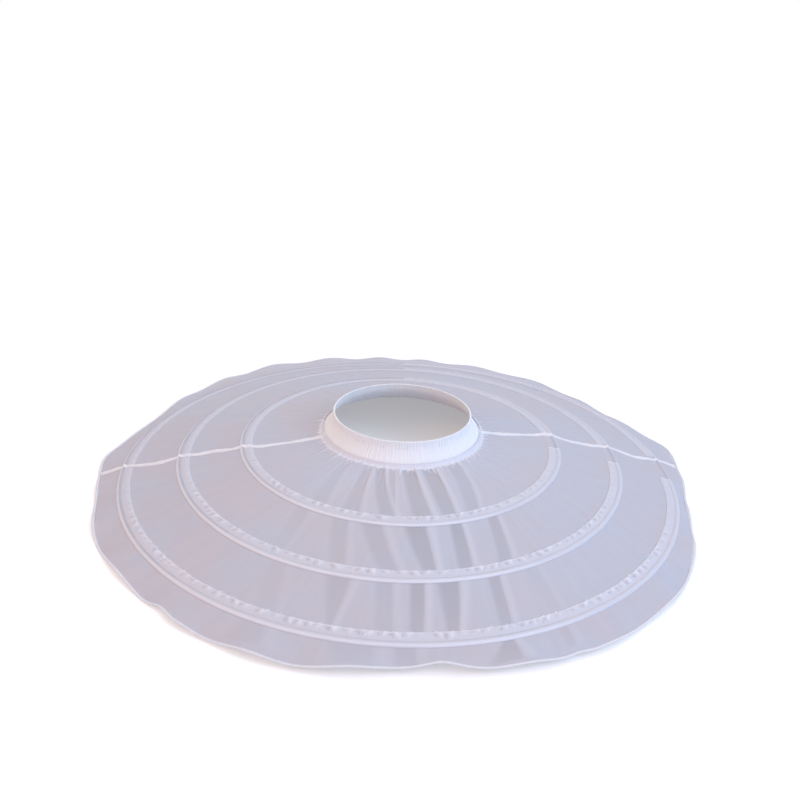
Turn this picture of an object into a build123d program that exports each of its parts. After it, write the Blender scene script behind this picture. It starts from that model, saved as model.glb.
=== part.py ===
"""Three-hoop crinoline petticoat: a very wide, shallow organza skirt on an elastic waistband.

It stands on its hem. Millimetres, +Z up, X to the wearer's left hand as seen from the front, front towards -Y.
The origin is under the middle of the waist, on the level of the lowest points of the hem.
Depths are measured down from the top edge of the waistband.
"""

import os
from math import asin, atan2, cos, degrees, exp, pi, radians, sin

from build123d import *

# Skirt outline, seen in section from the waist to the hem
total_height = 114.0
waist_diameter = 230.0
upright_depth = 8.0
band_depth = 33.0
band_flare = 18.0
upper_hoop_edge_radius = 267.0
upper_hoop_edge_depth = 54.0
middle_hoop_edge_radius = 368.0
middle_hoop_edge_depth = 74.5
lower_hoop_edge_radius = 460.0
lower_hoop_edge_depth = 100.0
flounce_width = 37.0

# Waistband and its elastic
band_fabric = 0.8
rib_height = 0.6
rib_count = 78
elastic_thickness = 1.4
elastic_height = 22.0
elastic_top = 2.5
elastic_clearance = 0.1
seam_allowance = 6.0

# Organza
organza_thickness = 0.6
fold_count = 26
gather_height = 0.8
waist_fold_height = 1.4
skirt_fold_height = 1.3
flounce_fold_height = 1.0
side_fold_share = 0.3
front_fold_power = 4
seam_fade_power = 24
gather_run = 9.0
gather_drop = 2.2

# Casings and what is in them
casing_width = 21.0
sewn_margin = 1.5
tape_thickness = 0.5
hoop_thickness = 1.6
hoop_height = 5.5
ridge_height = 2.2
hoop_inset = 4.6
hoop_slope_run = 2.4
puff_height = 1.2
hoop_end_gap = 1.0
casing_gap_back = 8.0
casing_stop_degrees = 9.2
joiner_length = 32.0
joiner_wall = 0.8
sewn_gap = 0.05

# Seams, hem and thread
side_seam_width = 7.0
side_seam_rise = 0.5
hem_width = 4.5
hem_thickness = 2.2
hem_lift = 4.4
hem_lift_change = 2.0
hem_raise = 8.0
hem_raise_power_front = 6
hem_raise_power_back = 2
hem_wave_count = 26
thread_diameter = 0.6
thread_clearance = 0.1

# Unevenness round the skirt: for each wave, its count, its shift in radians and its size
fold_drift = [(3, 4.7, 0.9), (5, 0.0, 0.7)]
rib_drift = [(7, 4.7, 2.0), (11, 0.0, 1.3)]
hem_lift_waves = [(3, 1.0, 0.6), (5, 2.0, 0.4)]
hem_drift = [(4, 4.7, 0.7), (7, 1.0, 0.5)]

# Bulges of the hem's outline: degrees round from the middle of the front, half width in degrees, size
hem_bulges = [
    (-152, 20, 12),
    (-112, 10, -12),
    (-96, 8, 7),
    (-82, 8, -4),
    (-66, 8, 5),
    (-35, 16, 7),
    (-20, 8, 5),
    (-4, 8, -8),
    (24, 12, 9),
    (43, 8, 4),
    (72, 14, -19),
    (97, 8, 12),
    (118, 12, -10),
    (146, 10, 3),
]

# Sizes worked out from the ones above
waist_radius = waist_diameter / 2
half_seam = side_seam_width / 2
slot_width = elastic_thickness + 2 * elastic_clearance
hem_radius = lower_hoop_edge_radius + flounce_width
band_rows = [0, upright_depth] + [
    upright_depth + (band_depth - upright_depth) * step / 3 for step in (1, 2, 3)
]
band_foot_radius = waist_radius + band_flare
seam_top_depth = band_depth - seam_allowance
crest_half = hoop_thickness / 2 + joiner_wall
tangent_step = 0.0005
hoop_edges = {
    "upper": upper_hoop_edge_radius,
    "middle": middle_hoop_edge_radius,
    "lower": lower_hoop_edge_radius,
}
skirt_line = [
    (band_foot_radius, band_depth + gather_drop),
    (upper_hoop_edge_radius, upper_hoop_edge_depth),
    (middle_hoop_edge_radius, middle_hoop_edge_depth),
    (lower_hoop_edge_radius, lower_hoop_edge_depth),
    (hem_radius, total_height - hem_lift / 2 - hem_thickness / 2),
]


def along(line, value):
    """Height of a broken line at a value, with its first and last runs carried on."""
    for (start, low), (end, high) in zip(line, line[1:]):
        if value <= end:
            break
    return low + (high - low) * (value - start) / (end - start)


def curved_flare(depth):
    """How far the waistband has flared out at a depth."""
    share = max(0, depth - upright_depth) / (band_depth - upright_depth)
    return band_flare * share**1.5


flare_line = [(depth, curved_flare(depth)) for depth in band_rows]


def band_radius(depth, inset=0):
    """Radius of the waistband's outside at a depth, or of a wall set in from it."""
    return waist_radius + along(flare_line, depth) - inset


slot_outside = rib_height + band_fabric
slot_inside = slot_outside + slot_width
band_inside = slot_inside + band_fabric


def skirt_depth(radius):
    """Depth of the outside of the skirt with no folds."""
    return along(skirt_line, radius)


def level(depth):
    """Height above the floor of a depth below the waist."""
    return total_height - depth


def uneven(waves, angle):
    """A few waves added up, each a whole number of times round the skirt."""
    return sum(size * cos(round(count) * angle + shift) for count, shift, size in waves)


def seam_fade(angle):
    """1 over most of the skirt, falling to 0 at the two side seams."""
    return 1 - abs(cos(angle)) ** seam_fade_power


def front_share(angle):
    """Size of the folds: full at the front, smaller at the sides and back."""
    return side_fold_share + (1 - side_fold_share) * max(0, -sin(angle)) ** front_fold_power


def fold(angle):
    """Unevenly spaced folds, between -1 and 1."""
    return cos(fold_count * angle + uneven(fold_drift, angle))


def folded(radius, height):
    """A line round the skirt that rises and falls with its folds."""

    def place(angle):
        rise = height * fold(angle) * front_share(angle) * seam_fade(angle)
        return radius, level(skirt_depth(radius)) + rise

    return place


def plain(radius, depth):
    """A round line at one depth."""

    def place(angle):
        return radius, level(depth)

    place.round = True
    return place


def raised_hem(angle):
    """The hem is higher at the front and the back of the skirt than at its sides."""
    power = hem_raise_power_front if sin(angle) < 0 else hem_raise_power_back
    return hem_raise * abs(sin(angle)) ** power


def bulge(angle):
    """How far the hem's outline stands out, or is drawn in, at an angle."""
    total = 0
    for middle, half_width, size in hem_bulges:
        turn = angle + pi / 2 - radians(middle)
        away = degrees(atan2(sin(turn), cos(turn)))
        total += size * exp(-((away / half_width) ** 2))
    return total


def hem_rise(angle):
    """Lift of the hem above the floor, which it touches at both sides."""
    lift = hem_lift + hem_lift_change * uneven(hem_lift_waves, angle)
    wave = (1 - cos(hem_wave_count * angle + uneven(hem_drift, angle))) / 2
    return raised_hem(angle) + lift * wave


def hem_line(inset, rise):
    """A line along the wavy hem, set in from its edge and raised above its underside."""

    def place(angle):
        return hem_radius + bulge(angle) - inset, rise + hem_rise(angle)

    return place


def shifted(line, rise):
    """The same line, higher or lower."""

    def place(angle):
        radius, height = line(angle)
        return radius, height + rise

    place.round = getattr(line, "round", False)
    return place


def point_on(line, angle):
    radius, height = line(angle)
    return Vector(radius * cos(angle), radius * sin(angle), height)


def heading(line, angle, span):
    """Where a line round the skirt is heading at an angle, and how fast over a span of angle."""
    ahead = point_on(line, angle + tangent_step)
    behind = point_on(line, angle - tangent_step)
    return (ahead - behind) * (span / (2 * tangent_step))


def line_edge(line, start, end, points):
    """The edge along a line between two angles, or between two distances from the side seam."""
    angles = [start(line) + (end(line) - start(line)) * i / points for i in range(points + 1)]
    if getattr(line, "round", False):
        middle = angles[points // 2]
        return Edge.make_three_point_arc(
            point_on(line, angles[0]), point_on(line, middle), point_on(line, angles[-1])
        )
    span = angles[-1] - angles[0]
    return Edge.make_spline(
        [point_on(line, angle) for angle in angles],
        tangents=[heading(line, angles[0], span), heading(line, angles[-1], span)],
        parameters=[i / points for i in range(points + 1)],
        scale=False,
    )


def ruled_solid(lines, start, end, points):
    """A solid whose section passes through the lines in turn, swept between two ends."""
    edges = [line_edge(line, start, end, points) for line in lines]
    faces = [
        Face.make_surface_from_curves(edge, following)
        for edge, following in zip(edges, edges[1:] + edges[:1])
    ]
    for place in (0, 1):
        corners = [edge @ place for edge in edges]
        faces.append(Face(Wire.make_polygon(corners, close=True)))
    return Solid(Shell(faces))


def ruled_ring(lines, points):
    """A closed ring whose section passes through the lines in turn, made in two halves."""
    faces = []
    for first in (0, pi):
        edges = [
            line_edge(line, lambda _: first, lambda _: first + pi, points) for line in lines
        ]
        faces += [
            Face.make_surface_from_curves(edge, following)
            for edge, following in zip(edges, edges[1:] + edges[:1])
        ]
    return Solid(Shell(faces))


def turned(section, start=0.0, end=2 * pi):
    """A section, given as radius and height points, turned round the waist's axis."""
    corners = [Vector(radius, 0, height) for radius, height in section]
    face = Face(Wire.make_polygon(corners, close=True))
    if end - start >= 2 * pi:
        return Solid.revolve(face, 360, Axis.Z)
    whole = Solid.revolve(face, (end - start) * 180 / pi, Axis.Z)
    return whole.rotate(Axis.Z, start * 180 / pi)


def thread(radius, height, start=0.0, end=2 * pi):
    """A sewing thread round part of the skirt, resting at a height."""
    half = thread_diameter / 2
    section = [(radius - half, height + half), (radius, height)]
    section += [(radius + half, height + half), (radius, height + thread_diameter)]
    return turned(section, start, end)


def write(name, *solids):
    """One file for each piece."""
    shape = solids[0] if len(solids) == 1 else Compound(list(solids))
    shape.label = name
    export_step(shape, f"parts/{name}.step")


def waistband():
    """Gathered fabric folded down over the elastic, with fine upright ribs outside."""

    def ribbed(depth, share):
        def place(angle):
            wave = cos(rib_count * angle + uneven(rib_drift, angle))
            return band_radius(depth, rib_height * (1 - share * wave) / 2), level(depth)

        return place

    def foot(angle):
        return band_radius(band_depth, rib_height / 2), level(band_depth)

    foot.round = True
    lines = [ribbed(band_rows[0], 0.6)]
    lines += [ribbed(depth, 1) for depth in band_rows[1:-1]]
    lines.append(foot)
    points = rib_count * 2
    faces = []
    rims = []
    for first in (0, pi):
        edges = [
            line_edge(line, lambda _: first, lambda _: first + pi, points) for line in lines
        ]
        faces += [
            Face.make_surface_from_curves(edge, following)
            for edge, following in zip(edges, edges[1:])
        ]
        rims.append((edges[0], edges[-1]))
    faces += [Face(Wire([first, second])) for first, second in zip(*rims)]
    outside = Solid(Shell(faces))
    opening = [(band_radius(depth, band_inside), level(depth)) for depth in band_rows]
    axis_points = [(0, level(band_depth)), (0, level(0))]
    tunnel = [(band_radius(elastic_top, slot_inside), level(elastic_top - elastic_clearance))]
    tunnel += [(band_radius(depth, slot_inside), level(depth)) for depth in band_rows[1:]]
    tunnel += [(band_radius(depth, slot_outside), level(depth)) for depth in band_rows[:0:-1]]
    tunnel.append((band_radius(elastic_top, slot_outside), tunnel[0][1]))
    return outside - turned(opening + axis_points) - turned(tunnel)


def waist_elastic():
    """Flat elastic that fills the upper part of the waistband's tunnel."""
    foot = elastic_top + elastic_height
    depths = [elastic_top] + [d for d in band_rows if elastic_top < d < foot] + [foot]
    inner = [(band_radius(d, slot_inside - elastic_clearance), level(d)) for d in depths]
    outer = [(band_radius(d, slot_outside + elastic_clearance), level(d)) for d in depths]
    return turned(inner + outer[::-1])


def hoop_place(edge_radius):
    """Radius of the middle of a hoop, and the heights of its top and bottom."""
    centre = edge_radius - hoop_inset
    crest = level(skirt_depth(centre)) + ridge_height
    top = crest - organza_thickness - joiner_wall - sewn_gap
    return centre, top, top - hoop_height


def casing_lines(edge_radius):
    """The outside of the skirt over one casing: stitched edges, a puffed middle and a ridge."""
    centre = edge_radius - hoop_inset
    crest = skirt_depth(centre) - ridge_height
    upper = edge_radius - casing_width
    foot = centre - crest_half - hoop_slope_run
    puff = (upper + foot) / 2
    return [
        plain(upper, skirt_depth(upper)),
        plain(puff, skirt_depth(puff) - puff_height),
        plain(foot, skirt_depth(foot)),
        plain(centre - crest_half, crest),
        plain(centre + crest_half, crest),
        plain(edge_radius, skirt_depth(edge_radius)),
    ]


def casing_height(edge_radius, radius):
    """Height of the outside of the skirt at a radius within one casing."""
    return along([line(0) for line in casing_lines(edge_radius)], radius)


def flounce_line():
    """The middle of the flounce, which rises, bulges and draws in with the hem."""
    middle = folded((lower_hoop_edge_radius + hem_radius) / 2, flounce_fold_height)

    def place(angle):
        radius, height = middle(angle)
        return radius + bulge(angle) / 2, height + raised_hem(angle) / 2

    return place


def skirt_lines():
    """The outside of the skirt, from the waist seam to the hem."""
    gather_radius = band_foot_radius + gather_run
    outside = slot_outside + sewn_gap
    lines = [
        plain(band_radius(seam_top_depth, outside), seam_top_depth),
        plain(band_radius(band_depth, outside), band_depth),
        folded(gather_radius, gather_height),
    ]
    last = gather_radius
    height = waist_fold_height
    for edge_radius in hoop_edges.values():
        lines.append(folded((last + edge_radius - casing_width) / 2, height))
        lines += casing_lines(edge_radius)
        last = edge_radius
        height = skirt_fold_height
    lines.append(flounce_line())
    lines.append(hem_line(hem_width, (hem_thickness + organza_thickness) / 2))
    return lines


def under_lines(lines):
    """The inside of the skirt, back from the hem to the waist seam."""
    below = [shifted(line, -organza_thickness) for line in lines[2:]]
    inside = slot_inside - sewn_gap
    slot_radius = band_radius(band_depth, inside)
    waist = [
        plain(band_radius(seam_top_depth, inside), seam_top_depth),
        plain(slot_radius, band_depth),
        plain(slot_radius + organza_thickness, band_depth + organza_thickness),
    ]
    return (waist + below)[::-1]


def seam_meet(line, middle, turn):
    """Angle at which a line round the skirt meets one edge of the side seam at an angle."""
    angle = middle
    for _ in range(6):
        angle = middle + turn * asin(half_seam / line(angle)[0])
    return angle


def panel(first):
    """Half of the skirt, from the side seam at one angle to the one opposite."""
    lines = skirt_lines()
    return ruled_solid(
        lines + under_lines(lines),
        lambda line: seam_meet(line, first, 1),
        lambda line: seam_meet(line, first + pi, -1),
        fold_count * 5 // 2,
    )


def side_seam(middle):
    """The overlocked seam allowances, a raised band between the two panels."""
    lines = skirt_lines()
    raised = lines[:2] + [shifted(line, side_seam_rise) for line in lines[2:]]
    return ruled_solid(
        raised + under_lines(lines),
        lambda line: seam_meet(line, middle, -1),
        lambda line: seam_meet(line, middle, 1),
        8,
    )


def inside_of(radius):
    """Height of the underside of the skirt where it is sewn to a casing."""
    return level(skirt_depth(radius)) - organza_thickness - sewn_gap


def casing(edge_radius):
    """Tape sewn inside the skirt, with its two ends beside the right side seam."""
    centre, _, bottom = hoop_place(edge_radius)
    upper = edge_radius - casing_width
    foot = centre - crest_half - hoop_slope_run
    half_floor = hoop_thickness / 2 + sewn_gap
    outer_margin = edge_radius - sewn_margin
    top = [
        (upper, inside_of(upper)),
        (upper + sewn_margin, inside_of(upper + sewn_margin)),
        (foot, inside_of(foot) - tape_thickness),
        (centre - half_floor - tape_thickness, bottom),
        (centre + half_floor, bottom),
        (outer_margin, inside_of(outer_margin)),
        (edge_radius, inside_of(edge_radius)),
    ]
    below = [(radius, height - tape_thickness) for radius, height in top]
    return turned(top + below[::-1], casing_start(edge_radius), casing_end())


def casing_start(edge_radius):
    """Angle at which a casing starts, just behind the right side seam."""
    return casing_gap_back / edge_radius


def casing_end():
    """Angle at which every casing ends, before it is back at the right side seam."""
    return 2 * pi - radians(casing_stop_degrees)


def hoop(edge_radius):
    """Flat spring steel on edge, with its two ends butted inside the joiner."""
    centre, top, bottom = hoop_place(edge_radius)
    inner = centre - hoop_thickness / 2
    outer = centre + hoop_thickness / 2
    middle = joint_angle(edge_radius)
    half_gap = hoop_end_gap / 2 / centre
    section = [(inner, top), (outer, top), (outer, bottom), (inner, bottom)]
    return turned(section, middle + half_gap, middle + 2 * pi - half_gap)


def joint_angle(edge_radius):
    """Where a hoop's ends meet: the middle of the casing's opening."""
    return (casing_start(edge_radius) + casing_end()) / 2 - pi


def hoop_joiner(edge_radius):
    """Plastic sleeve pushed over both ends of a hoop."""
    centre, top, bottom = hoop_place(edge_radius)
    half_turn = joiner_length / 2 / edge_radius
    middle = joint_angle(edge_radius)

    def box(grow):
        half = hoop_thickness / 2 + grow
        section = [(centre - half, bottom - grow), (centre + half, bottom - grow)]
        section += [(centre + half, top + grow), (centre - half, top + grow)]
        return turned(section, middle - half_turn, middle + half_turn)

    return box(joiner_wall) - box(0)


def casing_stitching(edge_radius):
    """Two rows of thread outside the skirt, along the edges of a casing."""
    threads = []
    for radius in (
        edge_radius - casing_width + sewn_margin / 2,
        edge_radius - sewn_margin / 2,
    ):
        height = casing_height(edge_radius, radius) + thread_clearance
        seam_side = asin((half_seam + sewn_gap) / radius)
        threads.append(thread(radius, height, casing_start(edge_radius), pi - seam_side))
        threads.append(thread(radius, height, pi + seam_side, casing_end()))
    return threads


def waist_stitching():
    """Thread along the foot of the waistband."""
    radius = band_radius(band_depth, rib_height / 2) + thread_diameter / 2
    return thread(radius, level(band_depth))


def hem_overlock():
    """Thread wrapped round the rolled edge of the organza."""
    middle = hem_thickness / 2
    half_slot = organza_thickness / 2
    lines = [
        hem_line(hem_width - sewn_gap, middle + half_slot),
        hem_line(hem_width / 2, hem_thickness),
        hem_line(0, middle),
        hem_line(hem_width / 2, 0),
        hem_line(hem_width - sewn_gap, middle - half_slot),
    ]
    return ruled_ring(lines, hem_wave_count * 4)


os.makedirs("parts", exist_ok=True)
write("waistband", waistband())
write("waist_elastic", waist_elastic())
write("waist_stitching", waist_stitching())
write("front_panel", panel(pi))
write("back_panel", panel(0))
write("right_side_seam", side_seam(0))
write("left_side_seam", side_seam(pi))
for hoop_name, hoop_edge in hoop_edges.items():
    write(f"{hoop_name}_casing", casing(hoop_edge))
    write(f"{hoop_name}_casing_stitching", *casing_stitching(hoop_edge))
    write(f"{hoop_name}_hoop", hoop(hoop_edge))
    write(f"{hoop_name}_hoop_joiner", hoop_joiner(hoop_edge))
write("hem_overlock", hem_overlock())
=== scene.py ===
import math

import bpy
import numpy as np
from mathutils import Matrix, Vector


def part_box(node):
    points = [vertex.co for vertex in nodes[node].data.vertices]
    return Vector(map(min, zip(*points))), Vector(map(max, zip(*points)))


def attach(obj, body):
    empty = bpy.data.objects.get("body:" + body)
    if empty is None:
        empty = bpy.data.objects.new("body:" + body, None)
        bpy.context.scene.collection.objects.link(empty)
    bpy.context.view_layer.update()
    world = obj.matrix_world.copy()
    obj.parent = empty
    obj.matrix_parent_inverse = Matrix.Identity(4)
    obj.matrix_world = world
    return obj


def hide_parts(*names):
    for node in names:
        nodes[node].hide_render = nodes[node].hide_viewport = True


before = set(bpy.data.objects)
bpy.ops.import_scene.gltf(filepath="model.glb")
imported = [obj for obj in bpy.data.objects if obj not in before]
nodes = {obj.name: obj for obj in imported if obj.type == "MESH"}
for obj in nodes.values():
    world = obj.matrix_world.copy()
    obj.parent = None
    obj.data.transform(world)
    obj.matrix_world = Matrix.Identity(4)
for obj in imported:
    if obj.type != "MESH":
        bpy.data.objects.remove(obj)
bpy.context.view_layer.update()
mm = 0.001

# Everything below is drawn in millimetres round the waist's axis, and turned to metres in addMesh.
# Angles run from the right seam at +X. The skirt's front is at -Y, 7 degrees round from the viewer.

skirt = {
    "height": 114.0,
    # radius and depth below the waist, at the waistband's foot, at each hoop and at the hem
    "line": [(133.0, 35.2), (267.0, 54.0), (368.0, 74.5), (460.0, 100.0), (497.0, 110.7)],
    "hoopEdges": {"upper": 267.0, "middle": 368.0, "lower": 460.0},
    "hemRadius": 497.0,
    "clothStart": 134.0,  # where the organza comes out from under the waistband
    "seamHalf": 3.5,  # half the width between the two panels
    "columns": 640,
    "turn": 7.0,  # degrees from the skirt's front to the viewer's side
}

hem = {
    "width": 4.4, "thickness": 2.2, "lift": 4.4, "liftChange": 2.0, "waves": 26,
    "raise": 8.0, "raisePowers": (6, 2),  # how gently it rises towards the front and the back
    # slow changes of the waves' height and place: count round the skirt, shift, share
    "liftWaves": [(3, 1.0, 0.6), (5, 2.0, 0.4)],
    "drift": [(4, 4.7, 0.7), (7, 1.0, 0.5)],
    # bulges of the outline: degrees from the middle of the front, half width, size
    "bulges": [(-152, 20, 12), (-112, 10, -12), (-96, 8, 7), (-82, 8, -4), (-66, 8, 5),
               (-35, 16, 7), (-20, 8, 5), (-4, 8, -8), (24, 12, 9), (43, 8, 4), (72, 14, -19),
               (97, 8, 12), (118, 12, -10), (146, 10, 3)],
    # small curls: degrees from the viewer's side, half width, change of radius, rise
    "curls": [{"at": 7, "half": 2.6, "in": -3.0, "up": 2.6},
              {"at": -37, "half": 2.2, "in": -5.0, "up": 2.0},
              {"at": 27, "half": 2.0, "in": -2.5, "up": 1.5}],
}

# How far each side seam wanders from a straight radial line, in degrees, at some radii
seamWander = {
    0.0: [(134, -5.5), (160, -2.8), (190, -0.4), (245, 2.2), (295, 0.0), (375, 0.2), (413, -1.2),
          (461, 0.0)],
    math.pi: [(134, 10.0), (262, 5.2), (311, 3.3), (405, 2.3), (463, 0.4), (492, 0.0)],
}
seamReach = 0.4  # radians round from a seam in which the cloth follows it


def smooth(low, high, value):
    share = np.clip((value - low) / (high - low), 0, 1)
    return share * share * (3 - 2 * share)


def stepAt(middle, soft, value):
    return smooth(middle - soft, middle + soft, value)


def atLeast(least, share):
    return least + (1 - least) * share


def fromView(angle):
    # degrees round from the side that faces the viewer, towards +X
    return (np.degrees(angle) + 90 + skirt["turn"] + 180) % 360 - 180


def fromSeam(angle):
    # degrees round from the right seam, negative on the side of the front panel
    return (np.degrees(angle) + 180) % 360 - 180


def frontness(angle, full=45, none=85):
    return 1 - smooth(full, none, np.abs(fromView(angle)))


def between(places, value):
    return np.interp(value, [place[0] for place in places], [place[1] for place in places])


def wander(middle, radius):
    return np.radians(between(seamWander[middle], radius))


def bowed(angle, radius):
    # the cloth near each seam follows it sideways
    moved = angle
    for middle in seamWander:
        away = (angle - middle + math.pi) % math.tau - math.pi
        moved = moved + wander(middle, radius) * np.exp(-((away / seamReach) ** 2))
    return moved


def lineHeight(radius):
    return skirt["height"] - between(skirt["line"], radius)


def uneven(angle, seedNumber, counts):
    # a few waves of nearby counts with drawn shifts, between about -1 and 1
    drawn = np.random.default_rng(seedNumber)
    total = np.zeros_like(angle)
    for count in counts:
        total = total + np.cos(count * angle + drawn.uniform(0, math.tau)) * drawn.uniform(0.5, 1)
    return total / (0.75 * len(counts))


# Hem

def slowWaves(waves, angle):
    return sum(share * np.cos(count * angle + shift) for count, shift, share in waves)


def curled(angle, which):
    # places where the hem is drawn in and turned up a little
    front = fromView(angle)
    return sum(curl[which] * np.exp(-(((front - curl["at"]) / curl["half"]) ** 2))
               for curl in hem["curls"])


def hemRise(angle):
    lift = hem["lift"] + hem["liftChange"] * slowWaves(hem["liftWaves"], angle)
    turn = hem["waves"] * angle + slowWaves(hem["drift"], angle)
    power = np.where(np.sin(angle) < 0, *hem["raisePowers"])
    raised = hem["raise"] * np.abs(np.sin(angle)) ** power
    return raised + lift * (1 - np.cos(turn)) / 2 + curled(angle, "up")


def hemEdge(angle):
    edge = skirt["hemRadius"] + curled(angle, "in")
    for middle, halfWidth, size in hem["bulges"]:
        away = (np.degrees(angle) + 90 - middle + 180) % 360 - 180
        edge = edge + size * np.exp(-((away / halfWidth) ** 2))
    return edge


# Pleats of the front, listed one by one. Each dark stripe is one layer of organza between two folded
# ones.
# Under each pair of radii: degrees from the viewer's side at its inner end, and at its outer end, each
# as (from, to), then how strongly it shows.
# The dark stripes are darker partly as one thin layer and partly as painted shade: the skirt's shaded
# inside seen through them.
pleats = {
    (134, 246): [
        ((-38, -33), (-31, -25), 0.35), ((-23, -18), (-19, -13), 0.6), ((-15.5, -10), (-6, -1), 0.85),
        ((-7, -3), (-3.5, -1), 0.6), ((1.5, 9.5), (5, 11.3), 1.0), ((14, 23), (14.8, 19.6), 1.0),
        ((32, 41), (23.5, 28), 0.6), ((52, 58), (38, 43), 0.12),
    ],
    (267, 347): [
        ((-20, -15), (-15, -11), 0.4), ((-11, -4.5), (-3.5, 0.5), 0.55), ((2, 8.5), (6, 8.9), 0.95),
        ((15.8, 19.6), (13.8, 17.2), 0.95), ((28.6, 32), (23.4, 26.8), 0.7),
        ((35, 36), (33, 34), 0.15), ((-33, -28), (-29, -26), 0.2),
    ],
    (368, 439): [
        ((-14, -9), (-11, -10), 0.5), ((-4, -0.5), (-3, 0), 0.4), ((3, 5.9), (2.6, 4.9), 0.85),
        ((8.5, 13), (8.8, 10.7), 0.9), ((19.2, 21.8), (17.6, 19.8), 0.75),
        ((27.5, 31), (27.3, 29.5), 0.2), ((-27, -23), (-24, -20), 0.2),
    ],
    (460, 490): [
        ((-9.5, -3), (-8.5, -2.5), 0.3), ((0.2, 3.6), (0.2, 3.5), 0.4),
        ((17, 18.9), (13.8, 18.9), 0.7), ((26.8, 28.5), (26, 27.6), 0.35),
        ((-24, -20), (-25, -19), 0.25),
    ],
}

pleatEdges = {
    "starts": (-0.04, 0.02), "ends": (0.98, 1.06), "past": 0.1,  # as shares of a stripe's length
    "fade": 0.3,  # how much weaker a stripe is at its outer end
    # a stripe's left edge is soft, in degrees and by its width, and its right edge crisper
    "softShare": 0.25, "softFrom": 0.4, "softTo": 1.5, "crispShare": 0.4,
    # a pale fold outside the right edge, drawn as a painted highlight
    "foldOut": 2.2, "foldGap": 0.3, "foldHalf": 0.5, "foldHighlight": 0.28,
}


def pleatField(angle, radius):
    # how much of a dark stripe there is at each point, from 0 to 1, and how much painted highlight the
    # fold beside it has
    front = fromView(angle)
    field = np.zeros(np.broadcast(angle, radius).shape)
    foldHighlightShare = np.zeros(field.shape)
    for (start, end), stripes in pleats.items():
        share = (radius - start) / (end - start)
        inside = smooth(*pleatEdges["starts"], share) * (1 - smooth(*pleatEdges["ends"], share))
        share = np.clip(share, -pleatEdges["past"], 1 + pleatEdges["past"])
        fade = 1 - pleatEdges["fade"] * np.clip(share, 0, 1)
        for (first, last), (firstEnd, lastEnd), strength in stripes:
            low = first + (firstEnd - first) * share
            high = last + (lastEnd - last) * share
            soft = pleatEdges["softShare"] * (high - low)
            soft = np.clip(soft, pleatEdges["softFrom"], pleatEdges["softTo"])
            crisp = pleatEdges["crispShare"] * soft
            stripe = stepAt(low, soft, front) * (1 - stepAt(high, crisp, front))
            field = np.maximum(field, stripe * inside * strength * fade)
            fromFold = front - high - pleatEdges["foldOut"] * crisp - pleatEdges["foldGap"]
            fold = np.exp(-((fromFold / (pleatEdges["foldHalf"] + crisp)) ** 2))
            foldHighlightShare = np.maximum(foldHighlightShare, fold * inside * strength)
    return field, foldHighlightShare


# Small tucks, where the gathered organza is caught in a row of stitches

tuckRange = {
    # each is drawn evenly between two shares of the size given
    "spacing": (0.55, 1.45), "width": (0.45, 1.0), "length": (0.5, 1.0), "lean": (-0.6, 0.6),
    "height": (0.35, 1.0),
    "before": 2.0,  # how far a tuck starts on the near side of the stitches
    "narrowest": 0.02,
}


def drawTucks(edge, pitch, longest, widest, seedNumber):
    drawn = np.random.default_rng(seedNumber)
    count = int(math.tau * edge / pitch)
    places = np.cumsum(drawn.uniform(*tuckRange["spacing"], count) * pitch / edge)
    places *= math.tau / places[-1]
    return {
        "angle": places,
        "width": drawn.uniform(*tuckRange["width"], count) * widest,
        "length": drawn.uniform(*tuckRange["length"], count) * longest,
        "lean": drawn.uniform(*tuckRange["lean"], count),
        "height": drawn.uniform(*tuckRange["height"], count),
    }


def tuckField(tucks, angle, edge, away):
    # away is the distance from the row of stitches; a tuck is widest there and runs out to a point
    shape = np.broadcast(angle, away).shape
    away = np.broadcast_to(away, shape)
    turned = np.broadcast_to(angle, shape) % math.tau
    field = np.zeros(shape)
    begun = smooth(-tuckRange["before"], 0, away)
    for place, width, length, lean, height in zip(*tucks.values()):
        across = ((turned - place + math.pi) % math.tau - math.pi) * edge - lean * away
        half = width / 2 * np.clip(1 - away / length, tuckRange["narrowest"], 1)
        near = (np.abs(across) < half) & (away > -tuckRange["before"]) & (away < length)
        bump = np.zeros(shape)
        bump[near] = (1 - (np.abs(across[near]) / half[near]) ** 2) * height
        field = np.maximum(field, bump * begun)
    return field


# What the gathers do to the organza, as size in millimetres (or share), seed and counts round the skirt
gathers = {
    "ripple": (0.9, 3, (31, 37, 47, 58)),
    "fold": (0.55, 7, (23, 31, 41, 53)),
    "fineFold": (0.5, 8, (97, 113, 139, 171)),
    "wrinkle": (0.16, 9, (61, 83, 109)),
    "streak": (0.5, 12, (67, 89, 131, 173, 211)),
    "raggedFoot": (2.5, 13, (71, 97, 139, 181)),
}

gatherShape = {
    "fineUpTo": 240.0, "foldsFrom": 160.0,  # radii: fine folds run out, broad ones are full
    "foldsInFront": 0.4, "wrinkleLean": 0.0006, "flounceBend": 1.1, "sag": 1.3,
    # height of the front's pleats at some radii, and degrees where they are full and where they end
    "pleatHeight": [(134, 1.2), (150, 2.2), (246, 1.5), (267, 0.4), (307, 1.6), (347, 0.9), (368, 0.4),
                    (404, 1.5), (439, 0.9), (460, 0.4), (474, 0.9), (492, 0.0)],
    "pleatReach": (25, 60),
    "streak": 0.13, "streakAtWaist": 0.12, "streakLean": 0.0004,
    # from the band's foot out to this ragged line the organza is painted white: partly the band's turned
    # edge showing, partly painted light over the band's shadow
    "footRadius": 137.5, "footSoft": 1.5,  # the ragged line where the band's turned edge stops showing
    "tucks": (9.0, 22.0, 8.0), "tuckHeight": 1.5,  # pitch, length and width of the longest and widest
    "hemCalm": 9.0,  # folds die out over this distance from the hem
}

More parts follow.
